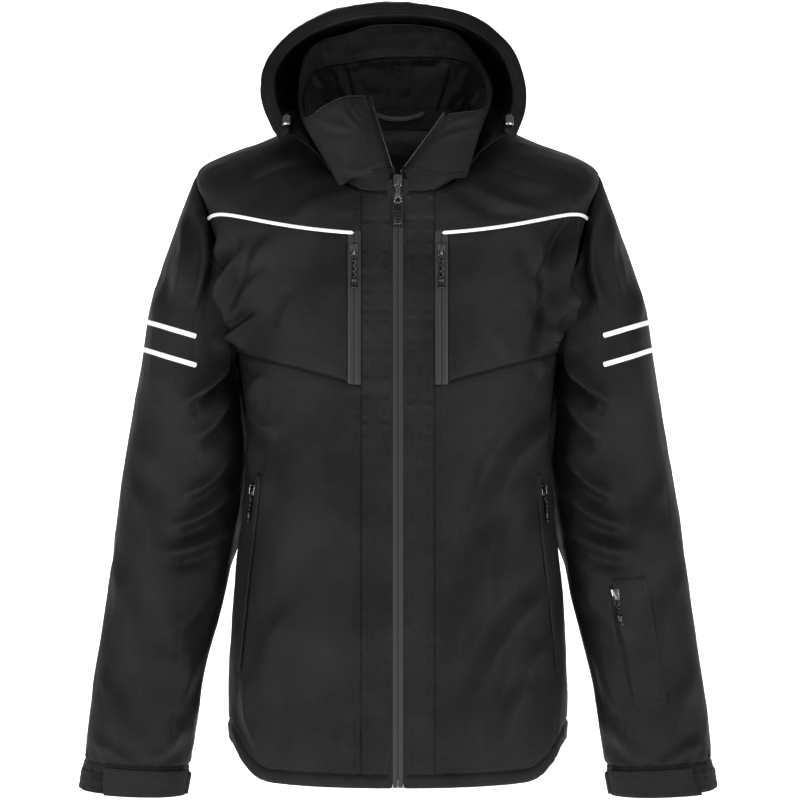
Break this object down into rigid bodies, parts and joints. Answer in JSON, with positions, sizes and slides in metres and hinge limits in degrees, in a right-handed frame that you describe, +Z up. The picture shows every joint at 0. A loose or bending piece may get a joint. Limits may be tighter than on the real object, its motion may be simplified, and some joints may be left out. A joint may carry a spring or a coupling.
{
  "type": "ski jacket",
  "caption": "Insulated hooded ski jacket with full front zip, vertical chest zips, white piping, striped sleeves, forearm pocket and hook-and-loop cuff tabs.",
  "frame": {"origin": "middle of the hanger loop inside the back of the neck", "axes": "+Z up, -Y out of the front, +X towards the wearer's left; the jacket hangs as worn, sleeves down"},
  "size_m": [0.7274, 0.2936, 0.9222],
  "materials": {
    "shell": "dark charcoal plain-weave polyester, matt",
    "lining": "black polyester taffeta",
    "zip_tape": "grey laminated water-repellent zip tape",
    "reflective_tape": "white bonded tape",
    "loop_fleece": "black loop pile for hook-and-loop fastening",
    "label_satin": "black woven satin",
    "black_metal": "black painted zinc",
    "moulded": "black moulded plastic"
  },
  "bodies": {
    "jacket": {"main_zip_left": "zip_tape", "main_zip_right": "zip_tape", "main_zip_box": "black_metal", "chest_zip_left": "zip_tape", "hand_zip_left": "zip_tape", "front_panel_left": "shell", "chest_panel_left": "shell", "placket_left": "shell", "chest_zip_right": "zip_tape", "hand_zip_right": "zip_tape", "front_panel_right": "shell", "chest_panel_right": "shell", "placket_right": "shell", "yoke": "shell", "back_panel": "shell", "hem_band": "shell", "body_lining": "lining", "back_yoke_lining": "lining", "chest_piping_left": "reflective_tape", "chest_piping_right": "reflective_tape", "collar": "shell", "hanger_loop": "lining", "neck_label": "label_satin", "hood_base": "shell"},
    "hood": {"hood_shell": "shell", "hood_lock_left": "black_metal", "hood_lock_right": "black_metal"},
    "hood_lock_button_left": {"hood_lock_button_left": "moulded"},
    "hood_lock_button_right": {"hood_lock_button_right": "moulded"},
    "main_slider": {"main_slider": "black_metal"},
    "main_puller": {"main_puller": "black_metal", "main_pull_tab": "moulded"},
    "chest_slider_left": {"chest_slider_left": "black_metal"},
    "chest_puller_left": {"chest_puller_left": "black_metal"},
    "chest_slider_right": {"chest_slider_right": "black_metal"},
    "chest_puller_right": {"chest_puller_right": "black_metal"},
    "hand_slider_left": {"hand_slider_left": "black_metal"},
    "hand_puller_left": {"hand_puller_left": "black_metal"},
    "hand_slider_right": {"hand_slider_right": "black_metal"},
    "hand_puller_right": {"hand_puller_right": "black_metal"},
    "sleeve_left": {"sleeve_upper_left": "shell", "stripe_upper_left": "reflective_tape", "stripe_lower_left": "reflective_tape"},
    "sleeve_right": {"sleeve_upper_right": "shell", "stripe_upper_right": "reflective_tape", "stripe_lower_right": "reflective_tape"},
    "forearm_left": {"sleeve_fore_left": "shell", "cuff_left": "shell", "cuff_loop_patch_left": "loop_fleece", "pass_zip_left": "zip_tape", "pass_pocket_welt": "shell"},
    "forearm_right": {"sleeve_fore_right": "shell", "cuff_right": "shell", "cuff_loop_patch_right": "loop_fleece"},
    "pass_slider": {"pass_slider": "black_metal"},
    "pass_puller": {"pass_puller": "black_metal"},
    "cuff_tab_left": {"cuff_tab_left": "shell"},
    "cuff_tab_right": {"cuff_tab_right": "shell"}
  },
  "joints": [
    {"name": "hood_fold", "type": "hinge", "parent": "jacket", "child": "hood", "pos_m": [0, 0.0501, 0.01], "axis": [-1, 0, 0], "range_deg": [0, 55]},
    {"name": "hood_lock_press_left", "type": "slide", "parent": "hood", "child": "hood_lock_button_left", "axis": [0, -0.342, -0.9397], "range_m": [0, 0.0029], "stiffness_N_per_m": 500, "springref_m": -0.002},
    {"name": "hood_lock_press_right", "type": "slide", "parent": "hood", "child": "hood_lock_button_right", "axis": [0, -0.342, -0.9397], "range_m": [0, 0.0029], "stiffness_N_per_m": 500, "springref_m": -0.002},
    {"name": "main_zip_run", "type": "slide", "parent": "jacket", "child": "main_slider", "axis": [0, -0.0493, -0.9988], "range_m": [0, 0.585]},
    {"name": "main_puller_flip", "type": "hinge", "parent": "main_slider", "child": "main_puller", "pos_m": [0, -0.15823, -0.08734], "axis": [-1, 0, 0], "range_deg": [0, 165]},
    {"name": "chest_zip_run_left", "type": "slide", "parent": "jacket", "child": "chest_slider_left", "axis": [-0.0003, -0.0393, -0.9992], "range_m": [0, 0.128]},
    {"name": "chest_puller_flip_left", "type": "hinge", "parent": "chest_slider_left", "child": "chest_puller_left", "pos_m": [0.0479, -0.16159, -0.16367], "axis": [-0.9989, -0.0477, 0.0021], "range_deg": [0, 165]},
    {"name": "hand_zip_run_left", "type": "slide", "parent": "jacket", "child": "hand_slider_left", "axis": [0.1047, 0.0174, -0.9944], "range_m": [0, 0.16]},
    {"name": "hand_puller_flip_left", "type": "hinge", "parent": "hand_slider_left", "child": "hand_puller_left", "pos_m": [0.16428, -0.10661, -0.42779], "axis": [-0.4567, -0.8874, -0.0636], "range_deg": [0, 165]},
    {"name": "chest_zip_run_right", "type": "slide", "parent": "jacket", "child": "chest_slider_right", "axis": [0.0003, -0.0393, -0.9992], "range_m": [0, 0.128]},
    {"name": "chest_puller_flip_right", "type": "hinge", "parent": "chest_slider_right", "child": "chest_puller_right", "pos_m": [-0.0479, -0.16159, -0.16367], "axis": [-0.9989, 0.0477, -0.0021], "range_deg": [0, 165]},
    {"name": "hand_zip_run_right", "type": "slide", "parent": "jacket", "child": "hand_slider_right", "axis": [-0.1047, 0.0174, -0.9944], "range_m": [0, 0.16]},
    {"name": "hand_puller_flip_right", "type": "hinge", "parent": "hand_slider_right", "child": "hand_puller_right", "pos_m": [-0.16428, -0.10661, -0.42779], "axis": [-0.4567, 0.8874, 0.0636], "range_deg": [0, 165]},
    {"name": "shoulder_raise_left", "type": "hinge", "parent": "jacket", "child": "sleeve_left", "pos_m": [0.233, -0.0339, -0.065], "axis": [0, -1, 0], "range_deg": [0, 60]},
    {"name": "elbow_bend_left", "type": "hinge", "parent": "sleeve_left", "child": "forearm_left", "pos_m": [0.253, -0.0999, -0.45], "axis": [-0.9903, 0, -0.1392], "range_deg": [0, 80]},
    {"name": "shoulder_raise_right", "type": "hinge", "parent": "jacket", "child": "sleeve_right", "pos_m": [-0.233, -0.0339, -0.065], "axis": [0, 1, 0], "range_deg": [0, 60]},
    {"name": "elbow_bend_right", "type": "hinge", "parent": "sleeve_right", "child": "forearm_right", "pos_m": [-0.253, -0.0999, -0.45], "axis": [-0.9903, 0, 0.1392], "range_deg": [0, 80]},
    {"name": "pass_zip_run", "type": "slide", "parent": "forearm_left", "child": "pass_slider", "axis": [0.1782, -0.0211, -0.9838], "range_m": [0, 0.095]},
    {"name": "pass_puller_flip", "type": "hinge", "parent": "pass_slider", "child": "pass_puller", "pos_m": [0.24371, -0.10122, -0.54643], "axis": [-0.9552, 0.2363, -0.1781], "range_deg": [0, 165]},
    {"name": "cuff_tab_peel_left", "type": "hinge", "parent": "forearm_left", "child": "cuff_tab_left", "pos_m": [0.238, -0.0754, -0.7704], "axis": [0.091, -0.036, -0.9952], "range_deg": [0, 80]},
    {"name": "cuff_tab_peel_right", "type": "hinge", "parent": "forearm_right", "child": "cuff_tab_right", "pos_m": [-0.238, -0.0754, -0.7704], "axis": [0.091, 0.036, 0.9952], "range_deg": [0, 80]}
  ]
}
